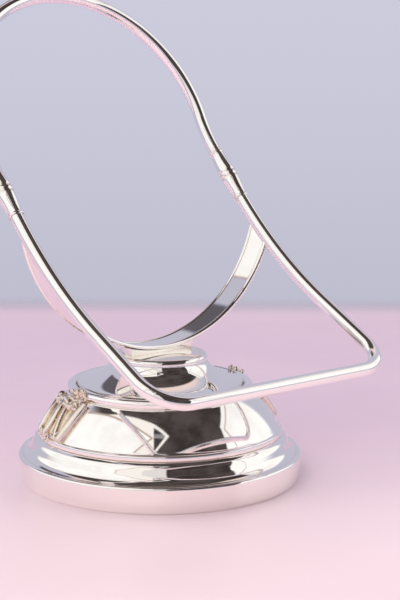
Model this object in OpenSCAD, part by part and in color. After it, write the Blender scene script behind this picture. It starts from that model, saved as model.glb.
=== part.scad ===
// Silver-plated wine bottle stand: a weighted round foot, a flared stem, a curved
// saddle band with rolled borders and a closed loop of round rod round the bottle.
// Millimetres. Z is up, the origin is the centre of the underside, and the bottle's
// foot points along -Y.

/* [Foot] */
// Radius of the foot band near the table
base_r = 54.7; // [52:0.1:58]
// Height of the bead along the top of the foot band
band_h = 8.9; // [8:0.1:9.4]
// Wall of the spun base shell
shell_t = 1.2; // [0.8:0.1:1.4]
// Radius of the shoulder ring's cross-section
ring_r = 1.9; // [1.6:0.1:2]

/* [Rod loop] */
// Radius of the round rod
rod_r = 2.6; // [2.2:0.1:2.8]
// Half the distance between the two side rails
rail_x = 55.5; // [54:0.5:57]
// Bend radius at the two front corners
corner_r = 14; // [11:0.5:18]
// Slope of the side rails where they leave the front corners, in degrees
rail_slope = 28.5; // [27:0.5:30]
// Slope of the plane the top hoop stands in, in degrees
hoop_slope = 62; // [55:1:75]

/* [Saddle] */
// Radius of the saddle band at its middle surface
saddle_r = 58.2; // [57.5:0.1:60]
// Width of the saddle band between the centres of its rolled borders
saddle_w = 10.4; // [9:0.2:12]
// Radius of the rolled borders
border_r = 1; // [0.8:0.1:1.2]

/* [Hidden] */
$fn = 96;
gap = 0.05;
rod_fn = 48;
rod_cut = 0.2;
collar_r = rod_r + 0.05;
collar_l = 1;

// Foot: the dome is a circular arc in the radial plane.
dome_c = [3.7, -3.7];
dome_arc_r = 49.1;
dome_a0 = 28.8;
dome_a1 = 50.3;
dome_steps = 12;
bead_r = 1.2;
flare = 0.65;
groove_z = 17.45;
groove_r = 47.3;
lip_h = 2.3;
ring_c = [34.3, 35.5];
shelf_z = 35.2;
shelf_r = 20;

// Stem.
stem_foot_r = 32.2;
stem_foot_z = 36.9;
neck_r = 18.4;
stem_top = 48.6;
stem_steps = 14;

// Weight, plate, felt and tie.
plate_z = 1.4;
plate_t = 1.2;
plate_r = base_r - shell_t - 0.1;
felt_r = 50;
weight_r = 43;
weight_z = plate_z + plate_t + gap;
weight_top = shelf_z - shell_t - gap;
stud_r = 3;
stud_top = 44;
screw_ring_r = 39;
screw_n = 3;
screw_r = 1.5;
screw_l = 9;
screw_head_r = 2.7;
screw_head_h = 1;

// Loop.
front_y = -69;
front_z = 47.3;
straight_l = 28;
rail_arc_r = 185;
rail_end_slope = 47;
ferrule_l = 24;
ferrule_r = 3.6;
tail_l = ferrule_l / 2;
hoop_arc_r = 70;

// Saddle.
saddle_y = 3.8;
saddle_z = 108.9;
band_t = 1.2;
rail_cut_slope = 39.6;
rail_cut_z = 92.4;

// Ornaments, measured round the foot from +X.
ornament_a = 165;
pearl_fn = 12;
pin_r = 0.8;

silver = [0.86, 0.85, 0.83];
tan_silver = [0.80, 0.72, 0.60];
iron = [0.30, 0.30, 0.31];
felt_c = [0.12, 0.25, 0.16];
brass = [0.72, 0.58, 0.32];
steel = [0.55, 0.55, 0.56];

// ---- points along the rail, as [y, z] ------------------------------------------
function along(s) = [cos(s), sin(s)];
function arc_step(r, s0, s1) = [r * (sin(s1) - sin(s0)), r * (cos(s0) - cos(s1))];

corner_x = rail_x - corner_r;
straight_0 = [front_y, front_z] + corner_r * along(rail_slope);
straight_1 = straight_0 + straight_l * along(rail_slope);
tail_0 = straight_1 + arc_step(rail_arc_r, rail_slope, rail_end_slope);
joint_p = tail_0 + tail_l * along(rail_end_slope);
hoop_0 = joint_p + tail_l * along(rail_end_slope);
hoop_1 = hoop_0 + arc_step(hoop_arc_r, rail_end_slope, hoop_slope);

// ---- outline of the foot, as [radius, height] -----------------------------------
function dome_pt(a, d) = dome_c + (dome_arc_r + d) * [cos(a), sin(a)];
function bead_pt(a) = [base_r + flare - bead_r, band_h] + bead_r * [cos(a), sin(a)];

// The ogee between the bead (1, 0) and the groove (0, 1).
OGEE = [[0.82, 0.01], [0.69, 0.08], [0.55, 0.2], [0.45, 0.37], [0.38, 0.53],
    [0.31, 0.69], [0.22, 0.84], [0.11, 0.94], [0.03, 0.985]];
ledge_z = band_h + bead_r;
function ogee_pt(q) = [
    groove_r + q[0] * (base_r - groove_r),
    ledge_z + q[1] * (groove_z - ledge_z)
];
// The rounded lip between the groove and the dome, from the groove.
LIP = [[0, 0], [0.35, 0.15], [0.5, 0.55], [0.45, 1.75], [0.2, 2.05], [-0.1, 2.15],
    [-0.4, lip_h]];

foot_outline = concat(
    [[base_r - 0.7, 0], [base_r - 0.2, 0.15], [base_r, 0.8]],
    [for (a = [-15:15:90]) bead_pt(a)],
    [for (q = OGEE) ogee_pt(q)],
    [for (q = LIP) [groove_r, groove_z] + q],
    [for (i = [0:dome_steps]) dome_pt(dome_a0 + (dome_a1 - dome_a0) * i / dome_steps, 0)],
    [[34.2, shelf_z - 0.4], [33.4, shelf_z], [shelf_r, shelf_z]]
);
foot_inner = concat(
    [[base_r - shell_t, 0], [base_r - shell_t, band_h - 0.6]],
    [for (q = OGEE) ogee_pt(q) - 0.75 * shell_t * [1, 1]],
    [for (i = [1:dome_steps - 1])
        dome_pt(dome_a0 + (dome_a1 - dome_a0) * i / dome_steps, -shell_t)],
    [[33.4, shelf_z - shell_t], [shelf_r, shelf_z - shell_t]]
);
n_in = len(foot_inner);

// ---- outline of the stem: a long flare that turns up into the neck --------------
function stem_pt(t) = [
    neck_r + (stem_foot_r - neck_r) * pow(1 - t, 1.9),
    stem_foot_z + 0.7 + 9.2 * pow(t, 1.25)
];
stem_outline = concat(
    [[0, shelf_z], [stem_foot_r, shelf_z], [stem_foot_r, stem_foot_z + 0.2]],
    [for (i = [0:stem_steps]) stem_pt(i / stem_steps)],
    [for (a = [10:20:90]) [neck_r - 1.8, stem_top - 1.8] + 1.8 * [cos(a), sin(a)]],
    [[0, stem_top]]
);

// ---- frames ----------------------------------------------------------------------
// Draws its children in the upright plane of a rail: local x is Y, local y is Z.
module rail_plane(x) {
    translate([x, 0, 0])
        rotate([90, 0, 90])
            children();
}

// The rod is drawn as runs and arcs that stop rod_cut short of each other, and a short
// collar a shade fuller than the rod closes each joint.
module rod_arc(r, a, tube) {
    short = rod_cut / r * 180 / PI;
    rotate([0, 0, short])
        rotate_extrude(angle = a - 2 * short)
            translate([r, 0])
                circle(r = tube, $fn = rod_fn);
}

module rod_run(l) {
    rotate([0, 90, 0])
        translate([0, 0, rod_cut])
            cylinder(h = l - 2 * rod_cut, r = rod_r, $fn = rod_fn);
}

// A collar at p on a rod that climbs at slope s.
module collar(p, s) {
    translate([p[0], p[1], 0])
        rotate([0, 0, s])
            rotate([0, 90, 0])
                cylinder(h = collar_l, r = collar_r, center = true, $fn = rod_fn);
}

// One bend of the rod in a rail plane, starting at p with slope s0.
module rail_bend(p, r, s0, s1, tube) {
    c = p + r * [-sin(s0), cos(s0)];
    translate([c[0], c[1], 0])
        rotate([0, 0, s0 - 90])
            rod_arc(r, s1 - s0, tube);
}

// A straight run of rod in a rail plane, starting at p with slope s.
module rail_run(p, s, l) {
    translate([p[0], p[1], 0])
        rotate([0, 0, s])
            rod_run(l);
}

// Everything that lies above the two rails where the saddle meets them.
module above_rails() {
    translate([0, saddle_y, rail_cut_z])
        rotate([rail_cut_slope, 0, 0])
            translate([-80, -40, 0])
                cube([160, 80, 60]);
}

// Trims a saddle piece so that it ends on the undersides of the rails.
module ends_on_rails() {
    difference() {
        children();
        above_rails();
        for (x = [-rail_x, rail_x])
            rail_plane(x)
                rail_bend(straight_1, rail_arc_r, rail_slope, rail_end_slope, rod_r + 0.01);
    }
}

// A ring section round the saddle's axis, open at the top.
module saddle_arc() {
    translate([0, 0, saddle_z])
        rotate([90, 0, 0])
            rotate([0, 0, 188])
                rotate_extrude(angle = 164)
                    children();
}

// ---- foot ------------------------------------------------------------------------
module base_shell() {
    color(silver)
        rotate_extrude()
            polygon(concat(foot_outline, [for (i = [n_in - 1:-1:0]) foot_inner[i]]));
}

module shoulder_ring() {
    color(silver)
        rotate_extrude()
            difference() {
                translate(ring_c)
                    circle(r = ring_r);
                translate([0, -1])
                    square([stem_foot_r + gap, 60]);
                polygon(concat([[0, 0]], foot_outline, [[0, shelf_z]]));
            }
}

module base_weight() {
    color(iron)
        difference() {
            rotate_extrude()
                polygon([[0, weight_z], [weight_r, weight_z], [weight_r, 14], [40, 18],
                    [31, 30], [28, weight_top], [0, weight_top]]);
            translate([0, 0, weight_z - 1])
                cylinder(h = 10, r = 10);
            cylinder(h = 60, r = stud_r + 0.4);
            at_screws()
                cylinder(h = plate_z + screw_l + 1.5, r = screw_r + gap);
        }
}

// Places its children at each of the screws that hold the plate to the weight.
module at_screws() {
    for (i = [0:screw_n - 1])
        rotate([0, 0, 120 * i + 30])
            translate([screw_ring_r, 0, 0])
                children();
}

module base_plate() {
    color(steel)
        difference() {
            translate([0, 0, plate_z])
                cylinder(h = plate_t, r = plate_r);
            at_screws() {
                cylinder(h = 10, r = screw_r + gap);
                translate([0, 0, plate_z - gap])
                    cylinder(h = screw_head_h + gap, r1 = screw_head_r + gap, r2 = screw_r + gap);
            }
        }
}

// Countersunk screws from below, flush with the plate's underside.
module plate_screws() {
    color(steel)
        at_screws() {
            translate([0, 0, plate_z])
                cylinder(h = screw_head_h, r1 = screw_head_r, r2 = screw_r);
            translate([0, 0, plate_z + 0.5 * screw_head_h])
                cylinder(h = screw_l, r = screw_r);
        }
}

module felt_pad() {
    color(felt_c)
        difference() {
            cylinder(h = plate_z - gap, r = felt_r);
            translate([0, 0, -1])
                cylinder(h = 5, r = 7);
        }
}

// ---- tie -------------------------------------------------------------------------
module tie_stud() {
    color(brass)
        translate([0, 0, 5])
            cylinder(h = stud_top - 5, r = stud_r);
}

module stud_washer() {
    color(steel)
        translate([0, 0, 11])
            difference() {
                cylinder(h = 1.15, r = 7.5);
                translate([0, 0, -1])
                    cylinder(h = 4, r = stud_r + gap);
            }
}

module stud_nut() {
    color(brass)
        translate([0, 0, 5.9])
            difference() {
                cylinder(h = 5.05, r = 5.6, $fn = 6);
                translate([0, 0, -1])
                    cylinder(h = 8, r = stud_r + gap);
            }
}

module stem_bell() {
    color(silver)
        difference() {
            rotate_extrude()
                polygon(stem_outline);
            cylinder(h = stud_top + 0.5, r = stud_r + gap);
        }
}

// ---- ornaments -------------------------------------------------------------------
// A pearl on the dome at azimuth b and arc angle a, its centre lift above the surface.
module pearl(b, a, r, lift) {
    p = dome_pt(a, lift);
    rotate([0, 0, b])
        translate([p[0], 0, p[1]])
            sphere(r = r, $fn = pearl_fn);
}

// A rounded ridge over the dome through the points [azimuth, arc angle] of path.
module ridge(path, r) {
    for (i = [0:len(path) - 2])
        hull()
            for (q = [path[i], path[i + 1]])
                pearl(q[0], q[1], r, 0.3);
}

module ornament() {
    difference() {
        union() {
            // backing leaf
            rotate([0, 0, -14.5])
                rotate_extrude(angle = 29)
                    polygon(concat(
                        [for (i = [0:8]) dome_pt(30 + 18.5 * i / 8, -0.4)],
                        [for (i = [8:-1:0]) dome_pt(30 + 18.5 * i / 8, 0.7)]
                    ));
            // raised edges of the three fanned petals
            ridge([[16.5, 46], [15.5, 38], [13.5, 31.5]], 2.2);
            ridge([[1.5, 45], [5, 38], [8, 31.5]], 1.5);
            ridge([[-4.5, 45], [-1.5, 37], [-1.5, 31]], 1.8);
            ridge([[-16.5, 44], [-12, 37], [-9.5, 31]], 1.8);
            // berries over the tops of the petals, in two rows
            for (b = [-18:5:17])
                pearl(b, 46.8, 1.6, 0.8);
            for (b = [-15.5:5:14.5])
                pearl(b, 49, 1.6, 1.3);
            // scroll ends at the feet of the petals
            for (b = [-11.5, -7.5, -3.5, 0.5, 6, 10.8, 14.6])
                pearl(b, 31, 1.7, 0.4);
        }
        // the foot up to its lip, the dome, the shoulder ring and the pins
        cylinder(h = groove_z + lip_h + gap, r = base_r);
        rotate_extrude()
            polygon(concat([[0, 0]], [for (a = [15:2:55]) dome_pt(a, gap)],
                [[0, dome_pt(55, gap)[1]]]));
        rotate_extrude()
            translate(ring_c)
                circle(r = ring_r + gap);
        cylinder(h = 60, r = ring_c[0]);
        pin_at(-8, pin_r + gap);
        pin_at(8, pin_r + gap);
    }
}

// A fixing pin of radius r square to the dome at azimuth b.
module pin_at(b, r) {
    p = dome_pt(38, -shell_t - 1);
    rotate([0, 0, b])
        translate([p[0], 0, p[1]])
            rotate([0, 90 - 38, 0])
                cylinder(h = shell_t + 1.6, r = r);
}

module ornament_left() {
    color(tan_silver)
        rotate([0, 0, ornament_a])
            ornament();
}

module ornament_right() {
    color(tan_silver)
        rotate([0, 0, ornament_a + 180])
            ornament();
}

module ornament_pins() {
    color(brass)
        for (side = [0, 180], b = [-8, 8])
            rotate([0, 0, ornament_a + side])
                pin_at(b, pin_r);
}

// ---- saddle ----------------------------------------------------------------------
module saddle_pad() {
    color(silver)
        intersection() {
            difference() {
                translate([0, 0, stem_top])
                    cylinder(h = 12, r = 15);
                translate([0, 40, saddle_z])
                    rotate([90, 0, 0])
                        cylinder(h = 80, r = saddle_r + band_t / 2);
                for (y = [saddle_y - saddle_w / 2, saddle_y + saddle_w / 2])
                    translate([0, y, 0])
                        saddle_arc()
                            translate([saddle_r, 0])
                                circle(r = border_r + 0.01);
            }
            translate([-20, saddle_y - saddle_w / 2, 0])
                cube([40, saddle_w, 100]);
        }
}

module saddle_band() {
    color(silver)
        ends_on_rails()
            difference() {
                translate([0, saddle_y, 0])
                    saddle_arc()
                        translate([saddle_r - band_t / 2, -saddle_w / 2])
                            square([band_t, saddle_w]);
                for (y = [saddle_y - saddle_w / 2, saddle_y + saddle_w / 2])
                    translate([0, y, 0])
                        saddle_arc()
                            translate([saddle_r, 0])
                                circle(r = border_r + 0.01);
            }
}

module border(y) {
    color(silver)
        ends_on_rails()
            translate([0, y, 0])
                saddle_arc()
                    translate([saddle_r, 0])
                        circle(r = border_r);
}

module border_front() {
    border(saddle_y - saddle_w / 2);
}

module border_rear() {
    border(saddle_y + saddle_w / 2);
}

// ---- loop ------------------------------------------------------------------------
module loop_rod() {
    color(silver) {
        for (x = [-rail_x, rail_x])
            rail_plane(x) {
                collar(straight_0, rail_slope);
                rail_run(straight_0, rail_slope, straight_l);
                collar(straight_1, rail_slope);
                rail_bend(straight_1, rail_arc_r, rail_slope, rail_end_slope, rod_r);
                collar(tail_0, rail_end_slope);
                rail_run(tail_0, rail_end_slope, tail_l);
            }
        translate([0, front_y, front_z])
            rotate([rail_slope, 0, 0]) {
                translate([-corner_x, 0, 0])
                    rod_run(2 * corner_x);
                for (side = [[1, -90], [-1, 180]])
                    translate([side[0] * corner_x, 0, 0]) {
                        collar([0, 0], 0);
                        translate([0, corner_r, 0])
                            rotate([0, 0, side[1]])
                                rod_arc(corner_r, 90, rod_r);
                    }
            }
    }
}

// A tapered sleeve over the butt joint between the rail and the hoop.
module ferrule(x) {
    color(silver)
        rail_plane(x)
            translate([tail_0[0], tail_0[1], 0])
                rotate([0, 0, rail_end_slope])
                    rotate([0, 90, 0])
                        rotate_extrude()
                            polygon([[rod_r + 0.02, 0.1], [rod_r + 0.15, 0.1],
                                [ferrule_r - 0.2, ferrule_l / 2 - 1],
                                [ferrule_r, ferrule_l / 2],
                                [ferrule_r - 0.2, ferrule_l / 2 + 1],
                                [rod_r + 0.15, ferrule_l - 0.1],
                                [rod_r + 0.02, ferrule_l - 0.1]]);
}

module ferrule_left() {
    ferrule(-rail_x);
}

module ferrule_right() {
    ferrule(rail_x);
}

module top_hoop() {
    color(silver) {
        for (x = [-rail_x, rail_x])
            rail_plane(x) {
                rail_run(joint_p, rail_end_slope, tail_l);
                collar(hoop_0, rail_end_slope);
                rail_bend(hoop_0, hoop_arc_r, rail_end_slope, hoop_slope, rod_r);
                collar(hoop_1, hoop_slope);
            }
        translate([0, hoop_1[0], hoop_1[1]])
            rotate([hoop_slope, 0, 0])
                rod_arc(rail_x, 180, rod_r);
    }
}

base_shell();
shoulder_ring();
base_weight();
base_plate();
plate_screws();
felt_pad();
tie_stud();
stud_washer();
stud_nut();
stem_bell();
ornament_left();
ornament_right();
ornament_pins();
saddle_pad();
saddle_band();
border_front();
border_rear();
loop_rod();
ferrule_left();
ferrule_right();
top_hoop();
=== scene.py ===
import math
import random

import bpy
from mathutils import Matrix, Vector, noise


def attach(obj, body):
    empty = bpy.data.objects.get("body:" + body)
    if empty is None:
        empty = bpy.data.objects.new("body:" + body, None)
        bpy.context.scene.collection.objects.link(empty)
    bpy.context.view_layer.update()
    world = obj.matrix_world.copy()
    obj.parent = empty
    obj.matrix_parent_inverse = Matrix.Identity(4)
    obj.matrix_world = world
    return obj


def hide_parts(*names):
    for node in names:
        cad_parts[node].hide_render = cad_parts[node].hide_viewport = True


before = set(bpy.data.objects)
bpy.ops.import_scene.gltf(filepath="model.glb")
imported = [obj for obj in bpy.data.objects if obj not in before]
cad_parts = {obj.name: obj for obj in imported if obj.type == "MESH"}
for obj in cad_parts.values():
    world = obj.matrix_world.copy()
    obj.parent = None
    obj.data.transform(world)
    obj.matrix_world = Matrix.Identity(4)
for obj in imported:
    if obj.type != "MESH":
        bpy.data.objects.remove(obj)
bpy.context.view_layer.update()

MM = 0.001
scene = bpy.context.scene
scene.view_settings.view_transform = "Standard"
scene.view_settings.look = "None"


# ---- small helpers ---------------------------------------------------------------

def rad(a):
    return math.radians(a)


def arc(cx, cy, r, a0, a1, n):
    """n + 1 points of a circular arc, angles in degrees."""
    return [(cx + r * math.cos(rad(a0 + (a1 - a0) * i / n)),
             cy + r * math.sin(rad(a0 + (a1 - a0) * i / n))) for i in range(n + 1)]


def spline(points, n):
    """A Catmull-Rom curve through the points, n steps a span."""
    out = []
    p = [points[0]] + list(points) + [points[-1]]
    for i in range(1, len(p) - 2):
        for k in range(n):
            t = k / n
            out.append(tuple(
                0.5 * (2 * p[i][j] + (p[i + 1][j] - p[i - 1][j]) * t
                       + (2 * p[i - 1][j] - 5 * p[i][j] + 4 * p[i + 1][j] - p[i + 2][j]) * t * t
                       + (3 * p[i][j] - p[i - 1][j] - 3 * p[i + 1][j] + p[i + 2][j]) * t ** 3)
                for j in range(len(p[i]))))
    out.append(tuple(points[-1]))
    return out


def smooth(lo, hi, v):
    t = min(1.0, max(0.0, (v - lo) / (hi - lo)))
    return t * t * (3 - 2 * t)


def mesh_piece(name, verts, faces, sharp=35, tarnish_and_shade=None):
    """A smooth-shaded piece from points in millimetres, with its patina and painted shade in an
    attribute.
    """
    mesh = bpy.data.meshes.new(name)
    mesh.from_pydata([(x * MM, y * MM, z * MM) for x, y, z in verts], [], faces)
    mesh.validate()
    mesh.update()
    mesh.shade_smooth()
    mesh.set_sharp_from_angle(angle=rad(sharp))
    layer = mesh.attributes.new("tarnish_and_shade", "FLOAT", "POINT")
    layer.data.foreach_set("value", [tarnish_and_shade(*v) if tarnish_and_shade else 0.0 for v in verts])
    obj = bpy.data.objects.new(name, mesh)
    scene.collection.objects.link(obj)
    return obj


def lathe(name, profile, segments=224, sharp=35, tarnish_and_shade=None, place=None):
    """A closed outline of (radius, height) turned round Z."""
    verts, rings = [], []
    for r, z in profile:
        if r < 1e-6:
            verts.append((0, 0, z))
            rings.append([len(verts) - 1] * segments)
        else:
            rings.append(range(len(verts), len(verts) + segments))
            verts += [(r * math.cos(2 * math.pi * k / segments),
                       r * math.sin(2 * math.pi * k / segments), z) for k in range(segments)]
    faces = []
    for i in range(len(rings)):
        a, b = rings[i], rings[(i + 1) % len(rings)]
        for k in range(segments):
            m = (k + 1) % segments
            ids = []
            for v in (a[k], a[m], b[m], b[k]):
                if v not in ids:
                    ids.append(v)
            if len(ids) > 2:
                faces.append(ids)
    if place:
        verts = [tuple(place @ Vector(v)) for v in verts]
    return mesh_piece(name, verts, faces, sharp, tarnish_and_shade)


def tube(name, path, radius, segments=40, sharp=50, tarnish_and_shade=None):
    """A round rod along a path of 3-D points; radius is a number or one a point."""
    pts = [Vector(p) for p in path]
    radii = radius if isinstance(radius, list) else [radius] * len(pts)
    verts, faces = [], []
    tangent = (pts[1] - pts[0]).normalized()
    side = tangent.orthogonal().normalized()
    for i, p in enumerate(pts):
        ahead = pts[min(i + 1, len(pts) - 1)] - pts[max(i - 1, 0)]
        turn = tangent.rotation_difference(ahead.normalized())
        tangent, side = ahead.normalized(), turn @ side
        up = tangent.cross(side)
        verts += [tuple(p + radii[i] * (math.cos(2 * math.pi * k / segments) * side
                                        + math.sin(2 * math.pi * k / segments) * up))
                  for k in range(segments)]
    for i in range(len(pts) - 1):
        for k in range(segments):
            m = (k + 1) % segments
            faces.append((i * segments + k, i * segments + m,
                          (i + 1) * segments + m, (i + 1) * segments + k))
    last = (len(pts) - 1) * segments
    faces.append(tuple(range(segments - 1, -1, -1)))
    faces.append(tuple(range(last, last + segments)))
    return mesh_piece(name, verts, faces, sharp, tarnish_and_shade)


def slab_faces(nx, ny):
    """Faces that join two stacked grids of nx by ny cells, the first one on top."""
    row, size = nx + 1, (nx + 1) * (ny + 1)
    faces = []
    for j in range(ny):
        for i in range(nx):
            v = j * row + i
            faces.append((v, v + 1, v + row + 1, v + row))
            v += size
            faces.append((v, v + row, v + row + 1, v + 1))
    edge = ([i for i in range(nx)] + [j * row + nx for j in range(ny)]
            + [ny * row + i for i in range(nx, 0, -1)] + [j * row for j in range(ny, 0, -1)])
    for k, v in enumerate(edge):
        w = edge[(k + 1) % len(edge)]
        faces.append((w, v, v + size, w + size))
    return faces


def settle(piece, material, slot, *nodes):
    """Gives a piece its material, its body and the CAD nodes that it stands for; the slot is not
    used.
    """
    piece.data.materials.append(material)
    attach(piece, "root")
    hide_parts(*nodes)
    return piece


class Net:
    """Short calls for a node tree."""

    def __init__(self, owner):
        owner.use_nodes = True
        self.tree = owner.node_tree
        self.tree.nodes.clear()

    def add(self, kind, inputs=None, **props):
        node = self.tree.nodes.new(kind)
        for k, v in props.items():
            setattr(node, k, v)
        for k, v in (inputs or {}).items():
            if isinstance(v, bpy.types.NodeSocket):
                self.tree.links.new(v, node.inputs[k])
            else:
                node.inputs[k].default_value = v
        return node

    def math(self, op, a, b=0.0, clamp=False):
        return self.add("ShaderNodeMath", {0: a, 1: b}, operation=op, use_clamp=clamp).outputs[0]

    def ramp(self, v, lo, hi, to_lo=0.0, to_hi=1.0, kind="SMOOTHSTEP"):
        return self.add("ShaderNodeMapRange", {"Value": v, "From Min": lo, "From Max": hi,
                                               "To Min": to_lo, "To Max": to_hi},
                        interpolation_type=kind).outputs["Result"]

    def dot(self, a, b):
        return self.add("ShaderNodeVectorMath", {0: a, 1: tuple(b)},
                        operation="DOT_PRODUCT").outputs["Value"]

    def window(self, v, lo, hi, soft):
        """1 between lo and hi, falling to 0 over soft on either side."""
        return self.math("MULTIPLY", self.ramp(v, lo - soft, lo + soft),
                         self.ramp(v, hi - soft, hi + soft, 1.0, 0.0))

    def mix(self, factor, a, b):
        return self.add("ShaderNodeMix", {0: factor, 6: a, 7: b}, data_type="RGBA").outputs[2]

    def noise(self, vector, scale, detail=3.0, rough=0.55):
        return self.add("ShaderNodeTexNoise", {"Vector": vector, "Scale": scale, "Detail": detail,
                                               "Roughness": rough}).outputs["Fac"]


# ---- materials -------------------------------------------------------------------

def silver(name, tint, rough, tarnish_and_shade_gain, wave, streak=(1, 1, 1)):
    """Polished silver plate: warm patina with painted shade by the attribute, soft dents, fine
    polish lines.
    """
    material = bpy.data.materials.new(name)
    n = Net(material)
    place = n.add("ShaderNodeTexCoord").outputs["Object"]
    stretched = n.add("ShaderNodeMapping", {"Vector": place, "Scale": streak}).outputs[0]
    cloud = n.noise(place, 70.0, 4.0)
    polish = n.noise(stretched, 420.0, 5.0, 0.7)
    hair = n.noise(stretched, 2600.0, 2.0, 0.6)
    # The attribute holds patina and, on the foot, ring, stem, seat and saddle band, painted shade
    # as well.
    age_and_shade = n.add("ShaderNodeAttribute", attribute_name="tarnish_and_shade").outputs["Fac"]
    blotch = n.ramp(n.noise(place, 620.0, 5.0, 0.65), 0.28, 0.62, 0.55, 1.0)
    patchy = n.math("MULTIPLY", age_and_shade, blotch)
    stain_and_shade = n.math("MULTIPLY", patchy, tarnish_and_shade_gain, clamp=True)
    film = n.ramp(cloud, 0.45, 0.8, 0.0, 0.10)
    clean = n.mix(film, tint, (tint[0] * 0.93, tint[1] * 0.88, tint[2] * 0.80, 1))
    warm = n.mix(n.ramp(polish, 0.3, 0.7), (0.50, 0.33, 0.17, 1), (0.72, 0.53, 0.33, 1))
    colour = n.mix(stain_and_shade, clean, warm)
    grain = n.ramp(polish, 0.35, 0.75, rough * 0.6, rough * 1.6)
    dull = n.math("ADD", grain, n.math("MULTIPLY", stain_and_shade, 0.22))
    soft = n.add("ShaderNodeBump", {"Height": n.noise(place, 34.0, 2.0), "Strength": 1.0,
                                    "Distance": wave}).outputs[0]
    fine = n.add("ShaderNodeBump", {"Height": hair, "Strength": 0.25, "Distance": 0.000004,
                                    "Normal": soft}).outputs[0]
    shader = n.add("ShaderNodeBsdfPrincipled", {"Base Color": colour, "Metallic": 1.0,
                                                "Roughness": dull, "Normal": fine})
    n.add("ShaderNodeOutputMaterial", {"Surface": shader.outputs[0]})
    return material


def metal(name, light, dark, rough, scale, metallic=1.0, bump=0.00002):
    """A plain metal with mottled colour, uneven gloss and a fine surface."""
    material = bpy.data.materials.new(name)
    n = Net(material)
    place = n.add("ShaderNodeTexCoord").outputs["Object"]
    mottle = n.noise(place, scale, 5.0, 0.6)
    fine = n.noise(place, scale * 7, 3.0)
    shader = n.add("ShaderNodeBsdfPrincipled", {
        "Base Color": n.mix(n.ramp(mottle, 0.3, 0.7), dark, light), "Metallic": metallic,
        "Roughness": n.ramp(fine, 0.25, 0.75, rough * 0.7, rough * 1.3),
        "Normal": n.add("ShaderNodeBump", {"Height": fine, "Strength": 0.6,
                                           "Distance": bump}).outputs[0]})
    n.add("ShaderNodeOutputMaterial", {"Surface": shader.outputs[0]})
    return material


def felt(name):
    """Pressed wool felt: matted fibres, flecks and a soft nap."""
    material = bpy.data.materials.new(name)
    n = Net(material)
    place = n.add("ShaderNodeTexCoord").outputs["Object"]
    warped = n.add("ShaderNodeVectorMath", {0: place, 1: n.add("ShaderNodeTexNoise", {
        "Vector": place, "Scale": 900.0}).outputs["Color"], 2: (0.0016, 0.0016, 0.0016)},
        operation="MULTIPLY_ADD").outputs[0]
    fibre = n.noise(warped, 2400.0, 6.0, 0.75)
    wear = n.noise(place, 45.0, 4.0)
    colour = n.mix(n.ramp(fibre, 0.3, 0.7), (0.018, 0.065, 0.032, 1), (0.045, 0.14, 0.075, 1))
    colour = n.mix(n.ramp(wear, 0.5, 0.75, 0.0, 0.35), colour, (0.10, 0.17, 0.11, 1))
    shader = n.add("ShaderNodeBsdfPrincipled", {
        "Base Color": colour, "Roughness": 0.95, "Sheen Weight": 0.5, "Sheen Roughness": 0.5,
        "Normal": n.add("ShaderNodeBump", {"Height": fibre, "Strength": 0.9,
                                           "Distance": 0.00025}).outputs[0]})
    n.add("ShaderNodeOutputMaterial", {"Surface": shader.outputs[0]})
    return material


PLATE = (0.945, 0.925, 0.895, 1)
SPUN = silver("silver_spun", PLATE, 0.050, 0.55, 0.00022, (0.35, 0.35, 6))
ROD = silver("silver_rod", (0.94, 0.925, 0.905, 1), 0.060, 0.5, 0.00003)
BAND = silver("silver_band", (0.93, 0.91, 0.88, 1), 0.065, 0.9, 0.00008)
RELIEF = silver("silver_relief", (0.90, 0.86, 0.81, 1), 0.10, 1.0, 0.00003)


# ---- the foot --------------------------------------------------------------------

DOME = (3.7, -3.7)
DOME_R = 49.1
RING = (34.3, 35.5)
RING_R = 1.9
# RING as seen from DOME: arc angle, distance, and millimetres a degree there, all rounded
RING_A, RING_REACH, RING_ARC_MM = 52.03, 49.73, 0.868


def dome(a, lift=0.0):
    """(radius, height) on the dome at arc angle a."""
    return (DOME[0] + (DOME_R + lift) * math.cos(rad(a)),
            DOME[1] + (DOME_R + lift) * math.sin(rad(a)))


BEAD = (54.15, 8.9, 1.2)
OGEE = [(53.4, 10.15), (52.4, 10.7), (51.4, 11.6), (50.6, 12.8), (50.1, 14.0), (49.6, 15.2),
        (48.9, 16.3), (48.1, 17.0), (47.5, 17.35)]
LIP = [(47.3, 17.45), (47.62, 17.6), (47.78, 17.95), (47.8, 18.4), (47.75, 19.2), (47.62, 19.45),
       (47.4, 19.58), (47.1, 19.68), (46.88, 19.8)]
DOME_FROM, DOME_TO = 28.8, 50.3
WALL_T = 1.2        # thickness of the spun sheet
SHELF_Z = 35.2      # the flat inside the ring that the stem stands on

outer = [(54.0, 0.0), (54.4, 0.08), (54.62, 0.4), (54.74, 1.2), (55.0, 4.6)]
outer += arc(*BEAD, -15, 88, 14) + spline(OGEE, 5) + LIP
outer += [dome(DOME_FROM + (DOME_TO - DOME_FROM) * i / 30) for i in range(31)]
outer += [(34.2, SHELF_Z - 0.35), (33.4, SHELF_Z), (20.0, SHELF_Z)]
inner = [(20.0, SHELF_Z - WALL_T), (33.4, SHELF_Z - WALL_T)]
inner += [dome(DOME_TO - (DOME_TO - 30.6) * i / 14, -WALL_T) for i in range(15)]
inner += [(r - 0.75 * WALL_T, z - 0.75 * WALL_T) for r, z in reversed(OGEE)]
inner += [(53.5, 8.3), (53.5, 0.0)]


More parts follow.
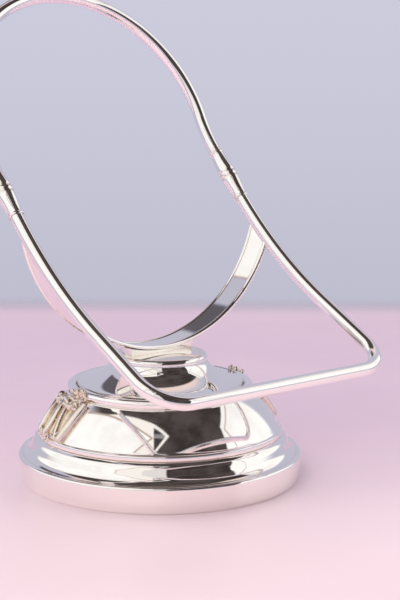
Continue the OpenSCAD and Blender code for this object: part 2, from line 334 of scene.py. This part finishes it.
def foot_tarnish_and_shade(x, y, z):
    """Tarnish colour with painted shade: darker in the groove, under the ring and in the corner
    over the bead.
    """
    r = math.hypot(x, y)
    groove = 1 - smooth(0.1, 0.45, math.hypot(r - 47.35, z - 17.45))
    under_ring = 0.6 * (1 - smooth(0.2, 0.9, math.hypot(r - 34.6, z - 34.2)))
    corner = 0.3 * (1 - smooth(0.1, 0.7, math.hypot(r - 53.5, z - 10.15)))
    return max(groove, under_ring, corner)


foot = lathe("foot_shell", outer + inner, tarnish_and_shade=foot_tarnish_and_shade)
settle(foot, SPUN, "silver_plate", "base_shell")

# The ring's lower side is darkened: patina with painted shade under the ring.
ring = lathe("foot_ring", arc(*RING, RING_R, -180, 180, 48)[:-1],
             tarnish_and_shade=lambda x, y, z: 0.5 * (1 - smooth(0.0, 0.5, abs(z - 34.0))))
settle(ring, SPUN, "silver_plate", "shoulder_ring")

NECK_R, STEM_FOOT_R, STEM_TOP = 18.4, 32.2, 48.6
bell = [(0.0, SHELF_Z), (STEM_FOOT_R, SHELF_Z), (STEM_FOOT_R, 37.1)]
bell += [(NECK_R + (STEM_FOOT_R - NECK_R) * (1 - t / 40) ** 1.9, 37.6 + 9.2 * (t / 40) ** 1.25)
         for t in range(41)]
bell += arc(NECK_R - 1.8, STEM_TOP - 1.8, 1.8, 4, 90, 10) + [(0.0, STEM_TOP)]
# The stem is darkened beside the ring and at its top under the seat: patina with painted shade
# between the parts.
stem = lathe("stem", bell, tarnish_and_shade=lambda x, y, z: max(
    0.3 * smooth(31.7, 32.2, math.hypot(x, y)),
    0.5 * smooth(STEM_TOP - 0.5, STEM_TOP, z) * smooth(13, 17, math.hypot(x, y))))
settle(stem, SPUN, "silver_plate", "stem_bell")


# ---- the two relief ornaments ----------------------------------------------------

ORNAMENT_A = 165    # azimuth of the left ornament's middle
ARC_MM = 0.857      # millimetres a degree up the dome

# Places on an ornament are (azimuth from its middle, arc angle up the dome), in degrees.
# Raised edges of the three fanned petals: three places, half width, height.
RIDGES = [
    (((17.0, 46.5), (15.3, 38.0), (12.8, 30.0)), 1.75, 1.75),
    (((2.5, 46.0), (5.6, 38.0), (8.8, 30.0)), 0.95, 1.3),
    (((-4.5, 46.0), (-0.8, 37.0), (-1.8, 28.5)), 1.35, 1.6),
    (((-17.5, 45.0), (-11.5, 36.0), (-10.2, 29.5)), 1.3, 1.5)]
# Scrolls at the feet: place and radius.
SCROLLS = [(11.4, 30.2, 1.9), (6.6, 29.9, 1.2), (2.4, 28.0, 1.7), (-2.4, 28.8, 1.4),
           (-8.6, 29.0, 1.7)]


def degree_mm(a):
    """Millimetres a degree round the dome at arc angle a."""
    return dome(a)[0] * math.pi / 180


def along_ridge(path, a):
    """Azimuth of a ridge at arc angle a: the parabola through its three points."""
    (b0, a0), (b1, a1), (b2, a2) = path
    return (b0 * (a - a1) * (a - a2) / ((a0 - a1) * (a0 - a2))
            + b1 * (a - a0) * (a - a2) / ((a1 - a0) * (a1 - a2))
            + b2 * (a - a0) * (a - a1) / ((a2 - a0) * (a2 - a1)))


def bump_height(d, r, top):
    """A round bump of half width r; below the surface outside it."""
    return top * math.sqrt(1 - (d / r) ** 2) if d < r else -1.0


def crown(b):
    """Arc angle of the top of the cluster: it climbs over the ring at its right end."""
    return 48.8 + 4.2 * smooth(-8.0, 9.0, b) - 1.0 * smooth(12.0, 17.0, b)


def cluster():
    """Berries and small curled leaves over the tops of the petals."""
    rng = random.Random(7)
    fruit, leaves = [], []
    for row in range(5):
        a = 44.6 + 1.85 * row
        for i in range(13):
            b = -20.5 + 3.1 * (i + 0.5 * (row % 2))
            b, ca = b + rng.uniform(-0.7, 0.7), a + rng.uniform(-0.4, 0.4)
            r, top, turn = rng.uniform(0.8, 1.25), rng.uniform(1.2, 1.9), rng.uniform(-1.1, 1.1)
            if b > 15.5 or ca > crown(b) - 0.9:
                continue
            if (i + 2 * row) % 3:
                fruit.append((b, ca, r, top))
            else:
                leaves.append((b, ca, turn, top))
    return fruit, leaves


BERRIES, LEAVES = cluster()


def petals(b, a):
    """Height of the petals: raised edges with a shallow ribbed dish between each two."""
    foot = smooth(27.6, 29.2, a)
    if a >= 47.5 or foot <= 0:
        return -1.0
    h = -1.0
    lines = [along_ridge(path, a) for path, _, _ in RIDGES]
    for line, (_, half, top) in zip(lines, RIDGES):
        d = abs(b - line) * degree_mm(a)
        if d < half:
            h = max(h, (0.45 + bump_height(d, half, top)) * foot)
    if lines[-1] < b < lines[0]:
        left, right = [(lo, hi) for hi, lo in zip(lines, lines[1:]) if lo <= b <= hi][0]
        across = (b - left) / (right - left)
        dish = 1.0 - 0.45 * math.sin(math.pi * across)
        rib = 0.06 * math.cos(6.0 * math.pi * across)
        h = max(h, (dish + rib) * foot)
    return h


def scroll(db, da, size):
    """A spiral roll with a round eye, db and da millimetres from its middle."""
    d = math.hypot(db, da)
    if d >= size + 0.3:
        return -1.0
    coil = size * (0.78 + 0.10 * math.atan2(da, db))
    return max(0.5 + bump_height(abs(d - coil), 0.42, 1.0), 0.6 + bump_height(d, 0.55, 1.1))


def berry(db, da, r, top):
    d = math.hypot(db, da)
    return 0.5 + bump_height(d, r, top) if d < r else -1.0


def leaf(db, da, turn, top):
    """A small curled leaf with a sunk vein, turned by an angle in radians."""
    u = db * math.cos(turn) + da * math.sin(turn)
    v = da * math.cos(turn) - db * math.sin(turn)
    d = math.hypot(u / 1.05, v / 1.9)
    if d >= 1:
        return -1.0
    vein = 0.45 * math.exp(-(u / 0.18) ** 2)
    return 0.6 + 1.2 * top * math.sqrt(1 - d * d) * (0.7 + 0.3 * math.cos(3.4 * u)) - vein


def relief(b, a):
    """Height of the ornament over the dome, in millimetres."""
    def off(place):
        return (b - place[0]) * degree_mm(a), (a - place[1]) * ARC_MM

    h = petals(b, a)
    h = max([h] + [scroll(*off(item), *item[2:]) for item in SCROLLS])
    h = max([h] + [berry(*off(item), *item[2:]) for item in BERRIES])
    h = max([h] + [leaf(*off(item), *item[2:]) for item in LEAVES])
    # uneven ground under the cluster
    inside = min(a - 43.6, crown(b) - 0.3 - a, (b + 21.0) * 0.6, (16.6 - b) * 0.6)
    if inside > 0:
        h = max(h, min(0.4, inside) + 0.15 * noise.noise(Vector((b * 0.9, a * 0.9, 3.0))))
    return h


def ring_reach(a):
    """How far the shoulder ring stands out from the dome's centre at arc angle a."""
    across = (a - RING_A) * RING_ARC_MM
    if abs(across) >= RING_R:
        return DOME_R
    return max(DOME_R, RING_REACH + math.sqrt(RING_R ** 2 - across ** 2))


NEAR = ((-4, 0), (4, 0), (0, -4), (0, 4), (-3, -3), (3, 3), (-3, 3), (3, -3))


def hollow_tarnish(heights, nb, na):
    """Tarnish of a grid of heights: heavy where a point lies lower than those around it."""
    out = []
    for k, h in enumerate(heights):
        j, i = divmod(k, nb + 1)
        around = [heights[min(max(j + dj, 0), na) * (nb + 1) + min(max(i + di, 0), nb)]
                  for di, dj in NEAR]
        hollow = sum(around) / len(around) - h
        skirt = 1 - smooth(0.1, 0.6, h)
        out.append(min(1.0, 0.22 + smooth(-0.12, 0.16, hollow) + 0.6 * skirt))
    return out


def ornament(name, turn, node):
    """A slab that follows the dome and the ring, its top raised by the relief."""
    nb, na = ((200, 150))
    b0, b1, a0, a1 = -22.5, 20.5, 26.3, 53.6
    top, back, heights = [], [], []
    for j in range(na + 1):
        a = a0 + (a1 - a0) * j / na
        for i in range(nb + 1):
            b = b0 + (b1 - b0) * i / nb
            h = max(relief(b, a), -0.35)
            reach = ring_reach(a) if h > 0 else DOME_R
            rim = i in (0, nb) or j in (0, na)
            phi = rad(turn + b)
            for verts, lift in ((top, reach - DOME_R + (-0.6 if rim else h)), (back, -1.0)):
                r, z = dome(a, lift)
                verts.append((r * math.cos(phi), r * math.sin(phi), z))
            heights.append(h)
    piece = mesh_piece(name, top + back, slab_faces(nb, na), 60)
    layer = piece.data.attributes["tarnish_and_shade"]
    layer.data.foreach_set("value", hollow_tarnish(heights, nb, na) + [0.5] * len(back))
    return settle(piece, RELIEF, "ornament_silver", node)


ornament("relief_left", ORNAMENT_A, "ornament_left")
ornament("relief_right", ORNAMENT_A + 180, "ornament_right")


# ---- the rod loop ----------------------------------------------------------------

ROD_R, RAIL_X, CORNER_R = 2.6, 55.5, 14.0
FRONT = (-69.0, 47.3)
SLOPE, END_SLOPE, HOOP_SLOPE = 28.5, 47.0, 62.0
RAIL_ARC, HOOP_ARC = 185.0, 70.0
RAIL_STRAIGHT = 28.0     # straight run behind each front corner
TAIL = 12.0              # each half of a sleeve, from the rail's bend to the butt joint


def go(p, slope, length):
    """The point (y, z) that lies length further up a slope from p."""
    return (p[0] + length * math.cos(rad(slope)), p[1] + length * math.sin(rad(slope)))


def bend(p, r, s0, s1, n):
    """Points (y, z) of a bend that starts at p and turns from slope s0 to s1."""
    c = (p[0] - r * math.sin(rad(s0)), p[1] + r * math.cos(rad(s0)))
    return arc(c[0], c[1], r, s0 - 90, s1 - 90, n)


straight_0 = go(FRONT, SLOPE, CORNER_R)
straight_1 = go(straight_0, SLOPE, RAIL_STRAIGHT)
rail = [straight_0] + [go(straight_0, SLOPE, RAIL_STRAIGHT * i / 8) for i in range(1, 8)]
rail += bend(straight_1, RAIL_ARC, SLOPE, END_SLOPE, 48)
tail_0 = rail[-1]
joint = go(tail_0, END_SLOPE, TAIL)
rail += [go(tail_0, END_SLOPE, TAIL * i / 4) for i in range(1, 5)]

corner = []
for i in range(17):
    t = rad(90 * i / 16)
    corner.append((RAIL_X - CORNER_R + CORNER_R * math.sin(t), CORNER_R * (1 - math.cos(t))))


def front_bar():
    """The crossbar and its two corners, from the left rail to the right, as 3-D points."""
    flat = [(-x, s) for x, s in reversed(corner)]
    flat += [((RAIL_X - CORNER_R) * (i / 10 - 1), 0.0) for i in range(1, 20)] + corner
    return [(x, *go(FRONT, SLOPE, s)) for x, s in flat]


loop_path = [(-RAIL_X, y, z) for y, z in reversed(rail)][:-1] + front_bar() \
    + [(RAIL_X, y, z) for y, z in rail][1:]


def rod_tarnish(x, y, z):
    """A warm film where the saddle and the sleeves meet the rod."""
    saddle = 1 - smooth(6.0, 9.5, abs(y - 4.0))
    under = smooth(0.2, 1.4, 92.6 + 0.83 * (y - 3.8) - z)
    sleeve = 1 - smooth(0.3, 2.0, abs(math.hypot(y - tail_0[0], z - tail_0[1])))
    return max(0.55 * saddle * under, 0.4 * sleeve)


loop = tube("loop_bar", loop_path, ROD_R, tarnish_and_shade=rod_tarnish)
settle(loop, ROD, "silver_plate", "loop_rod")

hoop_0 = go(joint, END_SLOPE, TAIL)
legs = [go(joint, END_SLOPE, 0.05 + (TAIL - 0.05) * i / 4) for i in range(5)]
legs += bend(hoop_0, HOOP_ARC, END_SLOPE, HOOP_SLOPE, 16)[1:]
hoop_1 = legs[-1]
crest = [(-RAIL_X * math.cos(rad(a)), *go(hoop_1, HOOP_SLOPE, RAIL_X * math.sin(rad(a))))
         for a in range(2, 179, 2)]
hoop_path = [(-RAIL_X, y, z) for y, z in legs] + crest + [(RAIL_X, y, z) for y, z in reversed(legs)]


def hoop_tarnish(x, y, z):
    """A warm film where the hoop leaves its sleeves."""
    return 0.4 * (1 - smooth(12.5, 15, math.hypot(y - joint[0], z - joint[1])))


hoop = tube("hoop_bar", hoop_path, ROD_R, tarnish_and_shade=hoop_tarnish)
settle(hoop, ROD, "silver_plate", "top_hoop")

# Half of a sleeve's outline, as (radius, place along it): a rolled end, a taper, a middle band.
sleeve_half = [(2.62, 0.1), (2.95, 0.1), (3.05, 0.3), (3.05, 0.7), (2.9, 0.95), (2.86, 1.3)]
sleeve_half += [(2.86 + 0.70 * smooth(1.3, 10.6, s), s) for s in (2.5, 4, 5.5, 7, 8.5, 9.6, 10.4)]
sleeve_half += [(3.45, 10.75), (3.46, 11.0), (3.6, 11.25), (3.6, TAIL)]
sleeve_profile = sleeve_half + [(r, 2 * TAIL - s) for r, s in reversed(sleeve_half[:-1])]
CREVICES = (0.2, 1.2, 10.9, 13.1, 22.8, 23.8)


def sleeve_tarnish(x, y, z):
    """Warm rings in the crevices of a sleeve."""
    s = math.hypot(y - tail_0[0], z - tail_0[1])
    return 0.6 * max(1 - smooth(0.15, 0.9, abs(s - c)) for c in CREVICES)


for side, x in (("left", -RAIL_X), ("right", RAIL_X)):
    place = Matrix.Translation((x, *tail_0)) @ Matrix.Rotation(rad(END_SLOPE - 90), 4, "X")
    sleeve = lathe("sleeve_" + side, sleeve_profile, 64, 40, sleeve_tarnish, place)
    settle(sleeve, ROD, "silver_plate", "ferrule_" + side)


# ---- the saddle ------------------------------------------------------------------

SADDLE_R, SADDLE_W = 58.2, 10.4         # radius and width of the sheet's middle surface
SADDLE_Y, SADDLE_Z = 3.8, 108.9         # its axis runs along Y
BAND_T, EDGE_R = 1.2, 1.0               # thickness of the sheet, radius of its borders
DEEP = 1.0                              # how far its ends lie inside the rails
arc_c = (straight_1[0] - RAIL_ARC * math.sin(rad(SLOPE)),
         straight_1[1] + RAIL_ARC * math.cos(rad(SLOPE)))


def rail_gap(theta, r, y):
    """Distance from a point of the saddle's section to the rail's centre line."""
    x, z = r * math.sin(theta), SADDLE_Z - r * math.cos(theta)
    return math.hypot(x - RAIL_X, math.hypot(y - arc_c[0], z - arc_c[1]) - RAIL_ARC)


def end_angle(r, y):
    """The angle at which the band at radius r and station y comes to lie deep in the rail."""
    lo, span = rad(45), rad(37)
    angles = [lo + span * i / 400 for i in range(401)]
    hi = min(angles, key=lambda theta: rail_gap(theta, r, y))
    for _ in range(40):
        mid = (lo + hi) / 2
        if rail_gap(mid, r, y) > ROD_R - DEEP:
            lo = mid
        else:
            hi = mid
    return lo


def band_section():
    """Outline of the sheet across its width, as (y, radius)."""
    w, t = SADDLE_W / 2, BAND_T / 2
    out = [(SADDLE_Y - w + 0.3 + (2 * w - 0.6) * i / 14, SADDLE_R + t) for i in range(15)]
    out += [(y, SADDLE_R - t) for y, _ in reversed(out)]
    return out


def swept_saddle(name, section, steps, tarnish_and_shade, sharp=40):
    """A section of (y, radius) swept round the saddle's axis, ending inside the rails."""
    verts, faces = [], []
    count = len(section)
    ends = [end_angle(r, y) for y, r in section]
    for i in range(steps + 1):
        for (y, r), end in zip(section, ends):
            theta = -end + 2 * end * i / steps
            verts.append((r * math.sin(theta), y, SADDLE_Z - r * math.cos(theta)))
    for i in range(steps):
        for k in range(count):
            m = (k + 1) % count
            faces.append((i * count + k, (i + 1) * count + k, (i + 1) * count + m, i * count + m))
    faces.append(tuple(range(count)))
    faces.append(tuple(range(steps * count + count - 1, steps * count - 1, -1)))
    return mesh_piece(name, verts, faces, sharp, tarnish_and_shade)


def band_tarnish_and_shade(x, y, z):
    """Warm lines beside the rolled borders, fainter on the outside: patina with painted shade in
    the gap under the borders.
    """
    near = max(0.0, abs(y - SADDLE_Y) - SADDLE_W / 2 + 2.2)
    outside = math.hypot(x, z - SADDLE_Z) > SADDLE_R
    return (0.35 if outside else 0.5) * smooth(0.8, 1.6, near)


band = swept_saddle("saddle_sheet", band_section(), 160, band_tarnish_and_shade)
settle(band, BAND, "band_silver", "saddle_band")
# Each border is darkened on its side towards the band: patina with painted shade in the gap,
# stronger on the front border.
for name, sign, node, stain_and_shade in (("saddle_edge_front", -1, "border_front", 0.8),
                                ("saddle_edge_rear", 1, "border_rear", 0.3)):
    y = SADDLE_Y + sign * SADDLE_W / 2
    section = [(y + EDGE_R * math.cos(rad(15 * k)), SADDLE_R + EDGE_R * math.sin(rad(15 * k)))
               for k in range(24)]
    edge = swept_saddle(name, section, 160,
                        lambda px, py, pz, y=y, sign=sign, stain_and_shade=stain_and_shade:
                        stain_and_shade * smooth(0.45, 0.95, (y - py) * sign), 60)
    settle(edge, BAND, "band_silver", node)


def seat():
    """The block between the stem and the band: a round boss cut flat at both edges."""
    r0, half = 15.0, SADDLE_W / 2 - 0.1
    nx, ny = 40, 10
    verts = []
    for j in range(ny + 1):
        y = -half + 2 * half * j / ny
        reach = math.sqrt(r0 ** 2 - (y + SADDLE_Y) ** 2)
        for i in range(nx + 1):
            x = -reach + 2 * reach * i / nx
            under = SADDLE_Z - math.sqrt((SADDLE_R + BAND_T / 2) ** 2 - x * x)
            verts.append((x, SADDLE_Y + y, under - 0.02))
    verts += [(x, y, STEM_TOP + 0.01) for x, y, _ in verts]
    # The seat's foot on the stem is darkened: patina with painted shade in the gap under the band.
    return mesh_piece("saddle_seat", verts, slab_faces(nx, ny), 40,
                      lambda x, y, z: 0.6 * (1 - smooth(0.2, 1.2, z - STEM_TOP)))


settle(seat(), SPUN, "silver_plate", "saddle_pad")


# ---- the parts under the foot keep their CAD shapes --------------------------------

IRON = metal("cast_iron_grey", (0.20, 0.20, 0.21, 1), (0.09, 0.09, 0.095, 1), 0.62, 260.0,
             0.7, 0.0002)
ZINC = metal("zinc_sheet", (0.62, 0.63, 0.65, 1), (0.48, 0.49, 0.52, 1), 0.34, 180.0)
STEEL = metal("turned_steel", (0.66, 0.66, 0.67, 1), (0.50, 0.50, 0.52, 1), 0.28, 700.0)
BRASS = metal("turned_brass", (0.80, 0.62, 0.32, 1), (0.58, 0.41, 0.19, 1), 0.26, 600.0)
for node, material in (("base_weight", IRON), ("base_plate", ZINC), ("plate_screws", STEEL),
                       ("felt_pad", felt("green_felt")), ("tie_stud", BRASS), ("stud_nut", BRASS),
                       ("stud_washer", STEEL), ("ornament_pins", BRASS)):
    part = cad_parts[node]
    part.data.materials.clear()
    part.data.materials.append(material)


# ---- camera ----------------------------------------------------------------------

EYE = Vector((-0.3654616, -0.4505911, 0.1681331))      # metres
HEADING, PITCH, ROLL = rad(40.565601), rad(-9.699658), rad(0.254956)
LEVEL = Vector((math.sin(HEADING), math.cos(HEADING), 0))
ACROSS = Vector((LEVEL.y, -LEVEL.x, 0))
AHEAD = LEVEL * math.cos(PITCH) + Vector((0, 0, math.sin(PITCH)))
UPRIGHT = Vector((0, 0, math.cos(PITCH))) - LEVEL * math.sin(PITCH)
RIGHT = ACROSS * math.cos(ROLL) + UPRIGHT * math.sin(ROLL)
UP = UPRIGHT * math.cos(ROLL) - ACROSS * math.sin(ROLL)
camera = bpy.data.objects.new("camera", bpy.data.cameras.new("camera"))
scene.collection.objects.link(camera)
camera.matrix_world = Matrix((
    (RIGHT.x, UP.x, -AHEAD.x, EYE.x), (RIGHT.y, UP.y, -AHEAD.y, EYE.y),
    (RIGHT.z, UP.z, -AHEAD.z, EYE.z), (0, 0, 0, 1)))
camera.data.sensor_width = 36.0
camera.data.lens = 91.32
scene.camera = camera


# ---- floor -----------------------------------------------------------------------

TABLE_END = 0.42
corners = [LEVEL * a + ACROSS * b for a, b in ((-3, -3), (-3, 3), (TABLE_END, 3), (TABLE_END, -3))]
floor_mesh = bpy.data.meshes.new("floor")
floor_mesh.from_pydata([tuple(c) for c in corners], [], [(0, 1, 2, 3)])
floor = bpy.data.objects.new("floor", floor_mesh)
scene.collection.objects.link(floor)
stone = bpy.data.materials.new("pale_table")
n = Net(stone)
place = n.add("ShaderNodeTexCoord").outputs["Object"]
depth = n.dot(place, LEVEL)
vein = n.ramp(n.noise(place, 7.0, 4.0, 0.6), 0.35, 0.75)
# The table is coloured darker and more mauve towards its back than in front: painted shade.
near = n.mix(vein, (0.90, 0.715, 0.76, 1), (0.92, 0.75, 0.80, 1))
far = n.mix(vein, (0.70, 0.52, 0.64, 1), (0.73, 0.56, 0.67, 1))
tone = n.mix(n.ramp(depth, -0.10, 0.10), near, far)
surface = n.add("ShaderNodeBsdfPrincipled", {"Base Color": tone, "Roughness": 0.32,
                                             "Specular IOR Level": 0.35})
clear = n.add("ShaderNodeBsdfTransparent")
fade = n.ramp(depth, TABLE_END - 0.075, TABLE_END)
blend = n.add("ShaderNodeMixShader", {0: fade, 1: surface.outputs[0], 2: clear.outputs[0]})
n.add("ShaderNodeOutputMaterial", {"Surface": blend.outputs[0]})
floor_mesh.materials.append(stone)


# ---- light round the object ----------------------------------------------------------
# All the light comes from the world. What the mirror finish reflects isn't a plain studio: its
# pale and dark patches were placed so that the dome shows in the photograph's view
# about what the photograph's dome shows. They are fixed in the world and don't follow a camera.
# Bearings are in degrees round Z, counted from the photograph's side and growing to its right.
# Most patches lie on a flat ceiling: u grows towards the photograph's side and v to its right,
# both as a share of the ceiling's height over the object.

WALL = (0.54, 0.53, 0.65, 1)
OVERHEAD = (0.86, 0.70, 0.67, 1)
DARK_BEHIND = (0.12, 0.11, 0.13, 1)
LOW_LEFT = (0.80, 0.76, 0.75, 1)
DARK_0, DARK_1 = (0.042, 0.034, 0.034, 1), (0.088, 0.072, 0.070, 1)
WHITE_0, WHITE_1 = (0.97, 0.95, 0.94, 1), (1.12, 1.10, 1.09, 1)
PALE_FRAME = (1.0, 0.95, 0.91, 1)
GAP, GAP_STRIPE = (0.05, 0.045, 0.05, 1), (0.30, 0.29, 0.31, 1)
RIM = (0.50, 0.36, 0.31, 1)
BACKDROP_LOW, BACKDROP_HIGH = (0.50, 0.50, 0.60, 1), (0.60, 0.60, 0.72, 1)
MATT_GAIN = 3.05    # how much stronger the light is for diffuse rays than for the rest
LOWEST = 0.03       # lowest slope at which a ray still counts as meeting the ceiling

world = bpy.data.worlds.new("studio")
scene.world = world
n = Net(world)
ray = n.add("ShaderNodeTexCoord").outputs["Generated"]
toward, right, up = n.dot(ray, -LEVEL), n.dot(ray, ACROSS), n.dot(ray, (0, 0, 1))
bearing = n.math("DEGREES", n.math("ARCTAN2", right, toward))
height = n.math("DEGREES", n.math("ARCSINE", up))
over = n.math("MAXIMUM", up, LOWEST)
u, v = n.math("DIVIDE", toward, over), n.math("DIVIDE", right, over)
above = n.ramp(height, 5.0, 12.0)


def plane(cu, cv, c0, soft=0.012):
    """1 where cu * u + cv * v > c0 on the ceiling, falling to 0 over soft on either side."""
    total = n.math("ADD", n.math("MULTIPLY", u, cu), n.math("MULTIPLY", v, cv))
    return n.ramp(total, c0 - soft, c0 + soft)


def both(*covers):
    """1 where every one of the covers is 1."""
    out = covers[0]
    for cover in covers[1:]:
        out = n.math("MULTIPLY", out, cover)
    return out


def inverse(cover):
    """1 where the cover is 0."""
    return n.math("SUBTRACT", 1.0, cover)


def pale_frame(inset):
    """The pale frame round the left panel, drawn in by inset."""
    return both(above, plane(0.669, -0.744, 0.27 + inset), plane(0.842, -0.539, 0.309 + inset),
                plane(-0.427, -0.904, -0.385 + inset), n.ramp(bearing, -120.0, -114.0),
                plane(-0.65, 0.76, -7.0, 0.5))


def left_panel(grow):
    """The white panel over the photograph's left, grown by grow at its near corner."""
    return both(above, plane(-0.76, -0.65, -0.392 - grow), plane(0.65, -0.76, 0.505 - grow),
                n.ramp(bearing, -134.0, -128.0), plane(-0.65, 0.76, -7.0, 0.5))


def right_rim(inset):
    """The part of the right panel that lies further in than its rim line, moved by inset."""
    return both(plane(-0.407, 1.0, 1.0 + inset), plane(-0.986, 0.169, 0.138 + inset))


white = n.mix(n.ramp(n.noise(ray, 2.2), 0.35, 0.65), WHITE_0, WHITE_1)
dark = n.mix(n.ramp(n.noise(ray, 3.5), 0.35, 0.65), DARK_0, DARK_1)

# a lavender wall that turns warm overhead, with a dark patch behind the object
light = n.mix(n.ramp(height, 44.0, 56.0), WALL, OVERHEAD)
behind = both(n.window(bearing, -172.0, -141.0, 2.0), n.window(height, 31.0, 48.0, 1.5))
light = n.mix(behind, light, DARK_BEHIND)

# the dark zone between the two panels, which stands in for the bottle's reflection
beside_right = both(plane(-0.357, 1.0, 0.888), plane(-1.555, 1.0, 0.841, 0.03))
low_left = both(plane(1.0, 0.0, 1.06), n.ramp(right, 0.12, 0.09))
light = n.mix(both(above, low_left), light, LOW_LEFT)
dark_zone = both(above, plane(1.0, 0.0, -0.5, 0.05), plane(0.0, 1.0, -0.9, 0.15),
                 inverse(beside_right), inverse(low_left))
light = n.mix(dark_zone, light, dark)

# the left panel with its rim line, in a pale frame with a dark striped gap between
light = n.mix(pale_frame(0.0), light, PALE_FRAME)
gap = both(pale_frame(0.045), n.ramp(right, -0.075, -0.06))
light = n.mix(gap, light, n.mix(n.window(u, 0.54, 0.63, 0.01), GAP, GAP_STRIPE))
light = n.mix(left_panel(0.035), light, RIM)
light = n.mix(left_panel(0.0), light, white)

# the right panel and its rim line
right_panel = both(above, beside_right, n.ramp(bearing, 141.0, 135.0),
                   n.ramp(bearing, 20.0, 30.0))
light = n.mix(right_panel, light, white)
light = n.mix(both(right_panel, right_rim(0.0), inverse(right_rim(0.03))), light, RIM)

# camera rays see a plain backdrop instead, and diffuse rays get a stronger light
backdrop = n.mix(n.ramp(height, -14.0, 2.0), BACKDROP_LOW, BACKDROP_HIGH)
kind = n.add("ShaderNodeLightPath").outputs
back = n.add("ShaderNodeBackground", {
    "Color": n.mix(kind["Is Camera Ray"], light, backdrop),
    "Strength": n.ramp(kind["Is Diffuse Ray"], 0.0, 1.0, 1.0, MATT_GAIN)})
n.add("ShaderNodeOutputWorld", {"Surface": back.outputs[0]})
